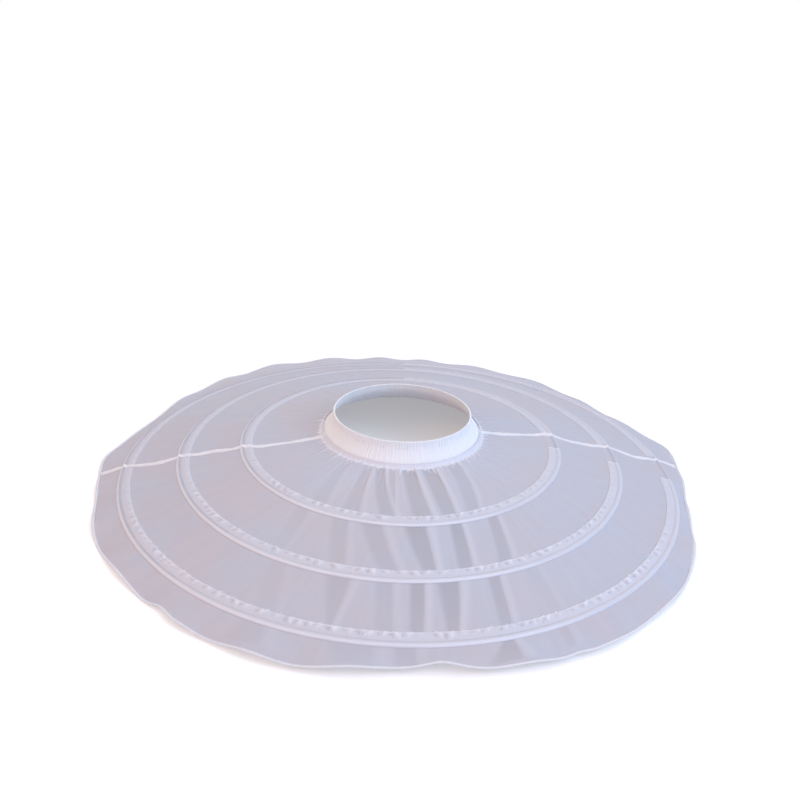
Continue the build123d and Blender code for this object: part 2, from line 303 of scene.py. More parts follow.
# Distances in a casing run outwards from its upper edge
casing = {
    "width": 21.0, "tape": 0.5, "puff": 1.1, "raised": 0.5, "ridge": 2.2, "ridgeAt": 16.6,
    "ridgeHalf": 3.7, "ridgeBlunt": 2.6, "valleyAt": 13.0, "stopDegrees": 9.2, "endBack": 8.0,
    "endSoft": 0.8, "endFoldIn": 2.2, "endFoldHalf": 2.0, "endFold": 0.9, "endFoldTo": 12.0,
    "tucks": (16.0, 12.5, 19.0), "tuckHeight": 1.3, "tuckAtBack": 0.2,
    "hollow": 0.8, "hollowShift": 8.0, "hollowFrom": (1.5, 5.0),
    "pressed": 0.85, "pressedFrom": 7.0, "pressedTo": 6.0, "edgeSlack": 0.05,
    "scallop": 1.5, "scallopHalf": 3.0,
}

# How much the tape shows through, from 0 to 1, and where; less where painted shade falls in the hollows
# between tucks and in the dip above the hoop
casingTone = {
    "tape": 0.46, "tuck": 0.62, "hollow": 0.44, "hollowFull": (0.1, 0.6), "hollowFrom": (1.5, 4.0),
    "upperLine": (1.2, 2.8), "lowerLine": (17.4, 18.2), "end": (20.2, 20.9),
    "upperAtBack": 0.5, "lowerBare": 0.3, "lowerOnRight": 0.6, "endFold": 0.5,
    # painted shade in the dip above the hoop: narrow in front, wider on the left and hardly there on the
    # right
    "dip": 0.9, "dipFrom": (12.4, 13.2), "dipTo": 14.9, "dipSoft": 0.7, "dipWiderLeft": 2.5,
    "dipOnRight": 0.05, "right": (18, 40), "left": (28, 55),
    "paintedDipShade": 0.2, "paintedDipShadeBroken": 0.3, "pleatsThrough": 0.3,
}

bandTucks = drawTucks(skirt["clothStart"], *gatherShape["tucks"], 5)
casingTucks = {
    name: drawTucks(edge - casing["width"], *casing["tucks"], 11 + number)
    for number, (name, edge) in enumerate(skirt["hoopEdges"].items())
}


def waved(name, angle):
    size, seedNumber, counts = gathers[name]
    return size * uneven(angle, seedNumber, counts)


def tapeCover(angle, edge):
    # 1 where the tape runs, 0 in its opening before the right seam
    along = fromSeam(angle)
    soft = math.degrees(casing["endSoft"] / edge)
    stop, start = -casing["stopDegrees"], math.degrees(casing["endBack"] / edge)
    return 1 - stepAt(stop, soft, along) * (1 - stepAt(start, soft, along))


def tapeEndFold(angle, edge):
    along = np.radians(fromSeam(angle) + casing["stopDegrees"]) * edge
    return np.exp(-(((along + casing["endFoldIn"]) / casing["endFoldHalf"]) ** 2))


def flounceHeight(angle, radius):
    # the skirt's line, and from the lower hoop a flounce down to the wavy hem
    lower = skirt["hoopEdges"]["lower"]
    flat = lineHeight(lower)
    edge = hemEdge(angle) - hem["width"]
    share = np.clip((radius - lower) / (edge - lower), 0, 1)
    atHem = hem["thickness"] / 2 + hemRise(angle)
    ripple = waved("ripple", angle) * np.sin(math.pi * share)
    flounce = flat + (atHem - flat) * share ** gatherShape["flounceBend"] + ripple
    return np.where(radius > lower, flounce, lineHeight(radius))


def sagging(radius):
    # the organza hangs a little between one casing and the next
    sag = np.zeros(radius.shape)
    edges = list(skirt["hoopEdges"].values())
    for start, stop in zip([skirt["clothStart"]] + edges, edges):
        share = np.clip((radius - start) / (stop - casing["width"] - start), 0, 1)
        sag = sag - gatherShape["sag"] * np.sin(math.pi * share)
    return sag


def gatherDents(angle, radius, singleLayerAndShade, toWaist):
    # pleats lie a little higher than the single layer between them
    spread = between(gatherShape["pleatHeight"], radius)
    dents = spread * (1 - singleLayerAndShade) * frontness(angle, *gatherShape["pleatReach"]) - spread * 0.5
    # soft radial folds everywhere, finer towards the waist
    sides = 1 - (1 - gatherShape["foldsInFront"]) * frontness(angle)
    dents += waved("fold", angle) * sides * smooth(skirt["clothStart"], gatherShape["foldsFrom"], radius)
    dents += waved("fineFold", angle) * toWaist
    dents += waved("wrinkle", angle + radius * gatherShape["wrinkleLean"]) * (1 - toWaist)
    return dents


def overCasing(name, edge, angle, away):
    # what one casing does to the organza over it: lift, how much tape shows, and the painted shade in
    # its dip
    shape, tone = casing, casingTone
    front = frontness(angle)
    cover = tapeCover(angle, edge)
    upper = edge - shape["width"]
    tucks = tuckField(casingTucks[name], angle, upper, away)
    tucks = tucks * atLeast(shape["tuckAtBack"], front)
    hollows = tuckField(casingTucks[name], angle + shape["hollowShift"] / edge, upper, away) * front
    endFold = tapeEndFold(angle, edge)

    puff = shape["puff"] * np.sin(math.pi * np.clip(away / shape["valleyAt"], 0, 1))
    fromRidge = np.abs(away - shape["ridgeAt"]) / shape["ridgeHalf"]
    ridge = shape["ridge"] * (1 - np.clip(fromRidge, 0, 1) ** shape["ridgeBlunt"])
    lift = (puff + shape["raised"]) * cover + shape["tuckHeight"] * tucks
    lift = lift - shape["hollow"] * hollows * smooth(*shape["hollowFrom"], away)
    lift = lift + endFold * np.where(away < shape["endFoldTo"], shape["endFold"], 0)

    rightSide = smooth(*tone["right"], fromView(angle))
    leftSide = smooth(*tone["left"], -fromView(angle))
    broken = 0.5 + 0.5 * uneven(angle, 40 + int(edge), (17, 29, 43))
    # the dip's painted shade lowers how much tape shows there
    dipEnd = tone["dipTo"] + tone["dipWiderLeft"] * leftSide
    dip = smooth(*tone["dipFrom"], away)
    dip = dip * (1 - stepAt(dipEnd, tone["dipSoft"], away))
    dip = dip * (1 - (1 - tone["dipOnRight"]) * rightSide)
    upTo = 1 - smooth(*tone["end"], away)
    upperLine = atLeast(tone["upperAtBack"], front) * (1 - smooth(*tone["upperLine"], away))
    # painted shade in the hollows between the tucks: the tape shows less there
    hollow = smooth(*tone["hollowFull"], hollows)
    middle = tone["tape"] + tone["tuck"] * tucks
    middle = middle - tone["hollow"] * hollow * smooth(*tone["hollowFrom"], away)
    tape = np.maximum(upperLine, middle * (1 - tone["dip"] * dip) * upTo)
    tape = tape * cover + tone["endFold"] * endFold
    lowerLine = smooth(*tone["lowerLine"], away) * upTo * atLeast(tone["lowerBare"], cover)
    lowerLine = lowerLine * (1 - (1 - tone["lowerOnRight"]) * rightSide)

    shows = np.clip(np.maximum(tape, lowerLine), 0, 1)
    # painted shade in the dip, broken up along the casing, given to the layer tone
    paintedDipShade = dip * cover * (tone["paintedDipShade"] + tone["paintedDipShadeBroken"] * broken)
    return lift, np.where(fromRidge < 1, ridge, 0), shows, paintedDipShade


def skirtSurface(angle, radius):
    # height of the organza; how much of what lies under it shows, plus painted highlights and painted
    # light; and how many layers it has there, plus painted shade
    angle, radius = np.broadcast_arrays(np.asarray(angle, float), np.asarray(radius, float))
    toWaist = 1 - smooth(skirt["clothStart"], gatherShape["fineUpTo"], radius)
    singleLayerAndShade, foldHighlightShare = pleatField(angle, radius)
    # painted highlight along the fold beside each dark stripe
    underAndPaintedLight = pleatEdges["foldHighlight"] * foldHighlightShare
    dents = gatherDents(angle, radius, singleLayerAndShade, toWaist)

    # faint streaks, where the gathers bring threads closer together
    streak = np.clip(0.5 + waved("streak", angle + gatherShape["streakLean"] * radius), 0, 1)
    streak = streak * (gatherShape["streak"] + gatherShape["streakAtWaist"] * toWaist)
    singleLayerAndShade = np.maximum(singleLayerAndShade, streak)

    # gathers caught under the waistband
    atBand = tuckField(bandTucks, angle, skirt["clothStart"], radius - skirt["clothStart"])
    dents += atBand * gatherShape["tuckHeight"]
    # below the band's foot the organza is painted white out to a ragged line: partly the band's turned
    # edge showing through, partly painted light over the shadow the band casts there
    ragged = gatherShape["footRadius"] + waved("raggedFoot", angle)
    foot = 1 - stepAt(ragged, gatherShape["footSoft"], radius)
    underAndPaintedLight = np.maximum(np.maximum(underAndPaintedLight, atBand), foot)

    pressed = np.ones(angle.shape)
    onTape = np.zeros(angle.shape)
    width = casing["width"]
    for name, edge in skirt["hoopEdges"].items():
        away = radius - (edge - width)
        inCasing = smooth(-casing["pressedFrom"], 0, away)
        inCasing = inCasing * (1 - smooth(width, width + casing["pressedTo"], away))
        pressed = np.minimum(pressed, 1 - casing["pressed"] * inCasing)
        within = (away >= -casing["edgeSlack"]) & (away <= width + casing["edgeSlack"])
        lift, ridge, shows, paintedDipShade = overCasing(name, edge, angle, away)
        onTape = onTape + np.where(within, lift, 0) + ridge
        underAndPaintedLight = np.maximum(underAndPaintedLight, np.where(within, shows, 0))
        # in a casing the pleats fade, and the dip's painted shade darkens the layer tone
        singleLayerAndShade = np.where(within, np.maximum(singleLayerAndShade * casingTone["pleatsThrough"], paintedDipShade), singleLayerAndShade)
    calm = smooth(0, gatherShape["hemCalm"], hemEdge(angle) - radius)
    height = flounceHeight(angle, radius) + (dents + sagging(radius)) * pressed * calm + onTape
    return height, underAndPaintedLight, 1 - singleLayerAndShade


def polar(angle, radius, height):
    return np.stack([radius * np.cos(angle), radius * np.sin(angle), height], -1)


def gridFaces(rows, columns, closedColumns=False, closedRows=False):
    upTo = columns if closedColumns else columns - 1
    rowsUpTo = rows if closedRows else rows - 1
    row, column = np.meshgrid(np.arange(rowsUpTo), np.arange(upTo), indexing="ij")
    nextColumn = (column + 1) % columns
    nextRow = (row + 1) % rows
    corners = [row * columns + column, nextRow * columns + column,
               nextRow * columns + nextColumn, row * columns + nextColumn]
    return np.stack([corner.ravel() for corner in corners], -1)


def endCaps(rows, count):
    # the two end faces of a closed strip, one at its first column and one at its last
    around = np.arange(rows) * count
    return [list(around), list(around[::-1] + count - 1)]


def addObject(name, data):
    made = bpy.data.objects.new(name, data)
    bpy.context.scene.collection.objects.link(made)
    return made


def addMesh(name, points, faces, layers=None, uvs=None):
    mesh = bpy.data.meshes.new(name)
    faces = faces.tolist() if isinstance(faces, np.ndarray) else faces
    mesh.from_pydata((np.asarray(points).reshape(-1, 3) * mm).tolist(), [], faces)
    mesh.validate()
    mesh.polygons.foreach_set("use_smooth", [True] * len(mesh.polygons))
    for layer, values in (layers or {}).items():
        attribute = mesh.attributes.new(layer, "FLOAT", "POINT")
        attribute.data.foreach_set("value", np.asarray(values, np.float32).ravel())
    if uvs is not None:
        corners = np.zeros(len(mesh.loops), np.int32)
        mesh.loops.foreach_get("vertex_index", corners)
        atCorners = np.asarray(uvs, np.float32).reshape(-1, 2)[corners] * mm
        mesh.uv_layers.new(name="clothRun").data.foreach_set("uv", atCorners.ravel())
    mesh.update()
    piece = addObject(name, mesh)
    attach(piece, "root")
    return piece


def finishPiece(piece, material, slotName, *replaced):
    piece.data.materials.clear()
    piece.data.materials.append(material)
    if replaced:
        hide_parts(*replaced)
    return piece


# Materials. In a Mix node, input 0 is the share, 2 and 3 are its two numbers, 6 and 7 its two colours.

def linear(hexCode):
    channels = [int(hexCode[place:place + 2], 16) / 255 for place in (1, 3, 5)]
    return tuple(c / 12.92 if c <= 0.04045 else ((c + 0.055) / 1.055) ** 2.4 for c in channels) + (1.0,)


def addNode(tree, kind, settings, links=None):
    node = tree.nodes.new("ShaderNode" + kind)
    for name, value in settings.items():
        if isinstance(name, str) and name not in node.inputs:
            setattr(node, name, value)
        else:
            node.inputs[name].default_value = value
    for name, source in (links or {}).items():
        tree.links.new(source, node.inputs[name])
    return node


def newMaterial(name):
    material = bpy.data.materials.new(name)
    material.use_nodes = True
    material.node_tree.nodes.clear()
    return material, material.node_tree


def closeMaterial(material, shader):
    addNode(material.node_tree, "OutputMaterial", {}, {"Surface": shader.outputs[0]})
    return material


def waveScale(pitch):
    # Wave texture: one band is a twentieth of a full turn at scale 1
    return math.tau / 20 / (pitch * mm)


def crossedThreads(tree, run, pitch, together, settings):
    # two sets of ridges at right angles, as warp and weft cross in a plain weave
    ridges = []
    for direction in ("X", "Y"):
        wave = addNode(tree, "TexWave",
            {"bands_direction": direction, "Scale": waveScale(pitch), **settings},
            {"Vector": run.outputs["UV"]})
        ridges.append(wave.outputs["Fac"])
    return addNode(tree, "Math", {"operation": together}, dict(enumerate(ridges)))


organzaLook = {
    # single is one layer's colour, darkened with painted shade: the skirt's shaded inside seen through
    # it
    "singleLayerAndShade": "#a7a6b0", "double": "#c8c8d4", "overTapeAndPaintedLight": "#e8e9f3",
    "pink": "#d2c2c4", "blue": "#c2cbdc", "tint": 0.25,
    "alphaSingle": 0.9, "alphaDouble": 0.95, "alphaOverTape": 0.985,
    "threadPitch": 1.6, "mottle": 90.0, "roughness": 0.62,
}


def organzaMaterial():
    # Polyester organza, woven plain from single bare filaments: crisp and sheer, with a soft sheen.
    # Its threads are 0.25 mm apart, too fine to show, so they are drawn 1.6 mm apart and faint.
    material, tree = newMaterial("polyester organza")
    look = organzaLook
    run = addNode(tree, "TexCoord", {})
    underneathAndPaintedLight = addNode(tree, "Attribute", {"attribute_name": "underneathAndPaintedLight"})
    layers = addNode(tree, "Attribute", {"attribute_name": "layers"})
    cloud = addNode(tree, "TexNoise",
        {"Scale": 1 / (look["mottle"] * mm), "Detail": 3.0, "Roughness": 0.55},
        {"Vector": run.outputs["Object"]})
    cloudRange = addNode(tree, "MapRange", {"From Min": 0.35, "From Max": 0.65},
        {"Value": cloud.outputs["Fac"]})
    tint = addNode(tree, "Mix", {"data_type": "RGBA", 6: linear(look["pink"]), 7: linear(look["blue"])},
        {0: cloudRange.outputs["Result"]})
    cloth = addNode(tree, "Mix",
        {"data_type": "RGBA", 6: linear(look["singleLayerAndShade"]), 7: linear(look["double"])},
        {0: layers.outputs["Fac"]})
    tinted = addNode(tree, "Mix", {"data_type": "RGBA", 0: look["tint"]},
        {6: cloth.outputs[2], 7: tint.outputs[2]})
    # the white of the tape behind; the painted highlights and the painted light below the band's foot
    # use this colour too
    backedAndPaintedLight = addNode(tree, "Mix", {"data_type": "RGBA", 7: linear(look["overTapeAndPaintedLight"])},
        {0: underneathAndPaintedLight.outputs["Fac"], 6: tinted.outputs[2]})
    solidity = addNode(tree, "MapRange", {"To Min": look["alphaSingle"], "To Max": look["alphaDouble"]},
        {"Value": layers.outputs["Fac"]})
    alpha = addNode(tree, "Mix", {"data_type": "FLOAT", 3: look["alphaOverTape"]},
        {0: underneathAndPaintedLight.outputs["Fac"], 2: solidity.outputs["Result"]})
    weave = crossedThreads(
        tree, run, look["threadPitch"], "MULTIPLY", {"Distortion": 0.6, "Detail": 1.0})
    # creases some 35 mm across
    crease = addNode(tree, "TexNoise",
        {"Scale": 28.0, "Detail": 5.0, "Roughness": 0.6, "Distortion": 0.8},
        {"Vector": run.outputs["Object"]})
    fine = addNode(tree, "Bump", {"Strength": 0.12, "Distance": 0.15 * mm}, {"Height": weave.outputs[0]})
    soft = addNode(tree, "Bump", {"Strength": 0.25, "Distance": 3 * mm},
        {"Height": crease.outputs["Fac"], "Normal": fine.outputs[0]})
    shader = addNode(tree, "BsdfPrincipled", {
        "Roughness": look["roughness"], "IOR": 1.5, "Specular IOR Level": 0.35,
        "Sheen Weight": 0.25, "Sheen Roughness": 0.45, "Sheen Tint": linear("#dfe6ff"),
    }, {"Base Color": backedAndPaintedLight.outputs[2], "Alpha": alpha.outputs[0], "Normal": soft.outputs[0]})
    return closeMaterial(material, shader)


def wovenMaterial(name, colour, shade, pitch, roughness, sheen):
    # Woven polyester: two sets of threads crossing, matt, a little darker between the threads
    material, tree = newMaterial(name)
    run = addNode(tree, "TexCoord", {})
    weave = crossedThreads(tree, run, pitch, "MAXIMUM", {"Distortion": 0.5})
    # unevenness some 22 mm across
    wear = addNode(tree, "TexNoise", {"Scale": 45.0, "Detail": 4.0}, {"Vector": run.outputs["Object"]})
    mixed = addNode(tree, "Math", {"operation": "MULTIPLY"},
        {0: weave.outputs[0], 1: wear.outputs["Fac"]})
    colours = addNode(tree, "Mix", {"data_type": "RGBA", 6: linear(shade), 7: linear(colour)},
        {0: mixed.outputs[0]})
    lighter = addNode(tree, "Mix", {"data_type": "RGBA", 0: 0.6, 7: linear(colour)},
        {6: colours.outputs[2]})
    bump = addNode(tree, "Bump", {"Strength": 0.35, "Distance": 0.2 * mm}, {"Height": weave.outputs[0]})
    shader = addNode(tree, "BsdfPrincipled", {
        "Roughness": roughness, "IOR": 1.5, "Specular IOR Level": 0.3,
        "Sheen Weight": sheen, "Sheen Roughness": 0.5,
    }, {"Base Color": lighter.outputs[2], "Normal": bump.outputs[0]})
    return closeMaterial(material, shader)


def speckledMaterial(name, colour, shade, scale, detail, strength):
    # the start of a finish with two close colours and a slight bump, both from one fine pattern
    material, tree = newMaterial(name)
    run = addNode(tree, "TexCoord", {})
    speckles = addNode(tree, "TexNoise", {"Scale": scale, "Detail": detail},
        {"Vector": run.outputs["Object"]}).outputs["Fac"]
    colours = addNode(tree, "Mix", {"data_type": "RGBA", 6: linear(shade), 7: linear(colour)},
        {0: speckles})
    bump = addNode(tree, "Bump", {"Strength": strength, "Distance": 0.1 * mm}, {"Height": speckles})
    return material, tree, speckles, {"Base Color": colours.outputs[2], "Normal": bump.outputs[0]}


def threadMaterial():
    # Spun polyester sewing thread, two plies twisted: matt white, its plies too fine to show, with
    # a fuzz about 1 mm across
    material, tree, _, links = speckledMaterial(
        "spun polyester thread", "#f1f1f6", "#dcdde8", scale=900.0, detail=2.0, strength=0.3)
    shader = addNode(tree, "BsdfPrincipled", {
        "Roughness": 0.7, "IOR": 1.5, "Specular IOR Level": 0.3,
        "Sheen Weight": 0.2, "Sheen Roughness": 0.5,
    }, links)
    return closeMaterial(material, shader)


def plasticMaterial(name, colour, shade, roughness):
    # Moulded or extruded plastic: smooth and slightly glossy, with faint clouds some 17 mm across
    material, tree, clouds, links = speckledMaterial(
        name, colour, shade, scale=60.0, detail=4.0, strength=0.1)
    rough = addNode(tree, "MapRange", {"To Min": roughness - 0.06, "To Max": roughness + 0.08},
        {"Value": clouds})
    links["Roughness"] = rough.outputs["Result"]
    return closeMaterial(material, addNode(tree, "BsdfPrincipled", {"IOR": 1.49}, links))


# Woven ones: colour, colour between the threads, thread spacing in mm, roughness, sheen. Their real
# threads are under 0.7 mm apart, too fine to show, so they are drawn two to four times as coarse.
materials = {
    "organza": organzaMaterial(),
    "seam": wovenMaterial("overlocked organza", "#f3f3f9", "#e2e1ea", 1.6, 0.65, 0.2),
    "band": wovenMaterial("shirred polyester", "#fafbff", "#eef0f8", 1.3, 0.75, 0.25),
    "tape": wovenMaterial("woven polyester tape", "#dddfea", "#c6c8d6", 1.4, 0.75, 0.2),
    "elastic": wovenMaterial("woven elastic", "#dedede", "#c2c2c4", 1.8, 0.8, 0.1),
    "thread": threadMaterial(),
    "coat": plasticMaterial("coated spring steel", "#e6e6e6", "#dcdcdc", 0.32),
    "sleeve": plasticMaterial("moulded polypropylene", "#dcdee2", "#cfd2d6", 0.4),
}
print("materials made")


# The two organza panels

grid = {
    # rows across a casing, from its upper edge, then radii of the first rows, two of them under the band
    "overCasing": [-3, -1.2, -0.3, 0.0, 0.5, 1.4, 2.6, 4.2, 6, 8, 10, 11.6, 12.6, 13.4, 14.2, 15.0, 15.8,
                   16.6, 17.4, 18.2, 19.0, 19.8, 20.6, 21.0, 21.4, 23],
    "first": [131.2, 132.4, 134, 136, 138.5, 141.5, 145, 149],
    "tuckedUp": [4.0, 1.2],  # heights of the rows under the band, over the band's foot
    "between": (19, 13, 12), "flounce": 11,  # steps before each casing, and from the last to the hem
    "bulgeFrom": 4.0, "runRadius": 320.0,
}


def panelRows():
    # radii from under the waistband to the hem, close together over each casing
    radii = list(grid["first"])
    for edge, steps in zip(skirt["hoopEdges"].values(), grid["between"]):
        upper = edge - casing["width"]
        radii += list(np.linspace(radii[-1], upper + grid["overCasing"][0], steps + 1)[1:-1])
        radii += [upper + step for step in grid["overCasing"]]
    last = skirt["hemRadius"] - hem["width"]
    return np.array(radii + list(np.linspace(radii[-1], last, grid["flounce"])[1:]))


def panel(name, first, replaced):
    radii = panelRows()
    share = smooth(skirt["hoopEdges"]["lower"] + grid["bulgeFrom"], radii[-1], radii)[:, None]
    angles = np.linspace(first, first + math.pi, skirt["columns"] + 1)[None, :]
    radius = radii[:, None] + share * (hemEdge(angles) - skirt["hemRadius"])
    for edge in skirt["hoopEdges"].values():
        # the stitches pull each casing's upper edge into small scallops
        near = (radii - edge + casing["width"]) / casing["scallopHalf"]
        near = np.exp(-(near ** 2))[:, None]
        scallops = casing["scallop"] * uneven(angles, 21 + int(edge), (edge // 4, edge // 3))
        radius = radius + near * scallops * frontness(angles)
    # the panel stops at the seam: the first and last columns are drawn in to a line beside it
    trim = np.arcsin(skirt["seamHalf"] / radius)
    turned = bowed(first + trim + (angles - first) * (math.pi - 2 * trim) / math.pi, radius)
    height, underAndPaintedLight, layers = skirtSurface(turned, radius)
    bandFoot = skirt["height"] - waistband["depth"]
    height[radii < skirt["clothStart"]] = bandFoot + np.array(grid["tuckedUp"])[:, None]
    uvs = np.stack([turned * grid["runRadius"], np.broadcast_to(radius, turned.shape)], -1)
    piece = addMesh(name, polar(turned, radius, height), gridFaces(len(radii), angles.shape[1])[:, ::-1],
                    {"underneathAndPaintedLight": underAndPaintedLight, "layers": layers}, uvs)
    return finishPiece(piece, materials["organza"], "organza", replaced)


# Waistband: polyester shirred over the elastic, so its outside stands in fine uneven gathers

waistband = {
    "radius": 115.0, "depth": 33.0, "upright": 8.0, "flare": 18.0, "flareBend": 1.5, "flareTo": 1.2,
    "wall": 3.7, "columns": 1440, "runRadius": 123.0, "rowRun": 1.9,
    # gathers' spacing from, to; how deep the valleys are; how far they lean
    "gather": (3.0, 6.6), "gatherDepth": 1.15, "lean": 0.9,
    "fineGather": (1.5, 3.0), "fineDepth": 0.3, "fineLean": 0.3,
    "gatherSize": (0.45, 1.0), "roundness": 0.6, "insidePull": 0.5,
    # rows up the inside, over the top and down the outside, and those at its foot
    "insideRows": 10, "topRows": 9, "outsideRows": 20, "footFrom": 3.2, "footRows": (2.2, 1.2, 0.2),
    "topDepth": 2.0, "topPull": 0.55, "topDip": 0.35,
    "stitchUp": 3.0, "stitchHalf": 0.9, "stitchPull": 0.55,
    "scallop": 2.4, "scallopFrom": 2.6, "scallopMiddle": 0.6,
}

frontCloth = panel("front_panel_cloth", math.pi, "front_panel")
backCloth = panel("back_panel_cloth", 0.0, "back_panel")
print("panels gathered")


def bandOutside(depth):
    band = waistband
    past = (depth - band["upright"]) / (band["depth"] - band["upright"])
    return band["radius"] + band["flare"] * np.clip(past, 0, band["flareTo"]) ** band["flareBend"]


def drawGathers(spacing, seedNumber):
    drawn = np.random.default_rng(seedNumber)
    count = int(math.tau * waistband["runRadius"] / (sum(spacing) / 2))
    places = np.cumsum(drawn.uniform(*spacing, count))
    return {
        "valleys": places * math.tau / places[-1],
        "lean": drawn.uniform(-1, 1, count),
        "size": drawn.uniform(*waistband["gatherSize"], count),
    }


def gatherHeight(drawnGathers, angle, share, lean):
    # 0 in the valleys between gathers, up to 1 on their crests; valleys wander sideways down the band
    moved = drawnGathers["valleys"] + drawnGathers["lean"] * lean / waistband["runRadius"] * share
    moved = np.concatenate([[moved[-1] - math.tau], moved])
    place = np.clip(np.searchsorted(moved, angle % math.tau, side="right") - 1, 0, len(moved) - 2)
    across = (angle % math.tau - moved[place]) / (moved[place + 1] - moved[place])
    crest = np.clip(4 * across * (1 - across), 0, 1) ** waistband["roundness"]
    return crest * drawnGathers["size"][place]


def bandPath():
    # up the inside, over the top in half a turn, and down the outside
    band = waistband
    foot, top = band["depth"], band["topDepth"]
    path = [(depth, "inside") for depth in np.linspace(foot, top, band["insideRows"])]
    path += [(turn, "top") for turn in np.linspace(0, math.pi, band["topRows"])[1:-1]]
    down = np.linspace(top, foot - band["footFrom"], band["outsideRows"])
    return path + [(depth, "outside") for depth in [*down, *(foot - up for up in band["footRows"])]]


def waistbandCloth():
    band = waistband
    wide = drawGathers(band["gather"], 61)
    fine = drawGathers(band["fineGather"], 62)
    angles = np.linspace(0, math.tau, band["columns"], endpoint=False)
    half = band["wall"] / 2
    foot = band["depth"]
    rows = []
    run = []
    for number, (place, side) in enumerate(bandPath()):
        share = place / foot if side != "top" else 0.0
        crest = gatherHeight(wide, angles, share, band["lean"])
        small = gatherHeight(fine, angles, share, band["fineLean"])
        pull = band["gatherDepth"] * (1 - crest) + band["fineDepth"] * (1 - small)
        if side == "inside":
            radius = bandOutside(place) - band["wall"] + pull * band["insidePull"]
            depth = np.full_like(angles, place)
        elif side == "top":
            pulled = pull * band["topPull"] * math.sin(place / 2)
            radius = bandOutside(0) - half - half * math.cos(place) - pulled
            depth = band["topDepth"] * (1 - math.sin(place)) + band["topDip"] * pull
        else:
            fromStitches = (place - foot + band["stitchUp"]) / band["stitchHalf"]
            radius = bandOutside(place) - pull - band["stitchPull"] * math.exp(-(fromStitches ** 2))
            scalloped = smooth(foot - band["scallopFrom"], foot, place) * band["scallop"]
            depth = np.full_like(angles, place) + scalloped * (crest - band["scallopMiddle"])
        rows.append(polar(angles, radius, skirt["height"] - depth))
        along = np.full_like(angles, number * band["rowRun"])
        run.append(np.stack([angles * band["runRadius"], along], -1))
    faces = gridFaces(len(rows), len(angles), closedColumns=True)
    piece = addMesh("waistband_cloth", np.stack(rows), faces, uvs=np.stack(run))
    return finishPiece(piece, materials["band"], "gathered_fabric", "waistband")


bandCloth = waistbandCloth()
print("waistband shirred")


# Stitches: each one a short arched dash of thread whose ends go down into the cloth

stitch = {
    "long": 2.7, "pitch": 3.7, "radius": 0.34, "arch": 0.3, "sides": 5, "spread": 0.2, "above": 0.1,
    "sway": 0.35, "fineSway": 0.25, "seamGap": 1.2, "rowsIn": (0.9, 0.75),
    # share of its length, rise and thickness at four places along a stitch
    "stations": [(0.0, -0.35, 0.35), (0.16, 0.55, 0.95), (0.84, 0.55, 0.95), (1.0, -0.35, 0.35)],
}


def addStitches(name, starts, ends, thick=stitch["radius"], high=stitch["arch"]):
    starts, ends = np.asarray(starts), np.asarray(ends)
    along = ends - starts
    along /= np.linalg.norm(along, axis=1)[:, None]
    side = np.cross(along, [0.0, 0.0, 1.0])
    side /= np.linalg.norm(side, axis=1)[:, None]
    upright = np.cross(side, along)
    rings = []
    for share, rise, size in stitch["stations"]:
        centre = starts + (ends - starts) * share + upright * (rise * high)
        for turn in np.arange(stitch["sides"]) * math.tau / stitch["sides"]:
            rings.append(centre + thick * size * (math.cos(turn) * side + math.sin(turn) * upright))
    pattern = gridFaces(len(stitch["stations"]), stitch["sides"], closedColumns=True)[:, ::-1]
    offsets = np.arange(len(starts)) * len(rings)
    faces = (pattern[None] + offsets[:, None, None]).reshape(-1, 4)
    return addMesh(name, np.stack(rings, 1), faces)


def stitchRow(edge, radius, start, end, drawn):
    # the two ends of each stitch round part of the skirt, with the slight sway of a sewn line
    count = int((end - start) * radius / stitch["pitch"])
    spread = drawn.uniform(-stitch["spread"], stitch["spread"], count)
    angle = np.linspace(start, end, count, endpoint=False) + spread / radius
    half = stitch["long"] / 2 / radius
    ends = []
    for turned in (angle - half, angle + half):
        sewn = radius + stitch["sway"] * np.sin(9 * turned + edge)
        sewn = sewn + stitch["fineSway"] * np.sin(31 * turned)
        ends.append(polar(turned, sewn, skirtSurface(turned, sewn)[0] + stitch["above"]))
    return ends


def casingStart(edge):
    return casing["endBack"] / edge


def casingStop():
    return math.tau - math.radians(casing["stopDegrees"])


for number, (name, edge) in enumerate(skirt["hoopEdges"].items()):
    drawn = np.random.default_rng(70 + number)
    starts, ends = [], []
    upperIn, lowerIn = stitch["rowsIn"]
    for radius in (edge - casing["width"] + upperIn, edge - lowerIn):
        clear = (skirt["seamHalf"] + stitch["seamGap"]) / radius
        left = math.pi + float(wander(math.pi, radius))
        for start, end in ((casingStart(edge), left - clear), (left + clear, casingStop())):
            first, second = stitchRow(edge, radius, start, end, drawn)
            starts.append(first)
            ends.append(second)
    piece = addStitches(f"{name}_casing_stitches", np.concatenate(starts), np.concatenate(ends))
    finishPiece(piece, materials["thread"], "thread", f"{name}_casing_stitching")

waistStitch = {"pitch": 3.3, "half": 1.1, "radius": 131.0, "in": 0.75, "thick": 0.3}
waistTurns = np.arange(0, math.tau, waistStitch["pitch"] / waistStitch["radius"])
waistRadius = bandOutside(waistband["depth"] - waistband["stitchUp"]) - waistStitch["in"]
waistLevel = skirt["height"] - waistband["depth"] + waistband["stitchUp"] + 0 * waistTurns
halfTurn = waistStitch["half"] / waistStitch["radius"]
waistEnds = [polar(waistTurns + step, waistRadius, waistLevel) for step in (-halfTurn, halfTurn)]
piece = addStitches("waist_stitches", *waistEnds, thick=waistStitch["thick"])
finishPiece(piece, materials["thread"], "thread", "waist_stitching")
print("stitches sewn")


# Casings: tapes inside the skirt, sewn along both edges and let down round the hoop

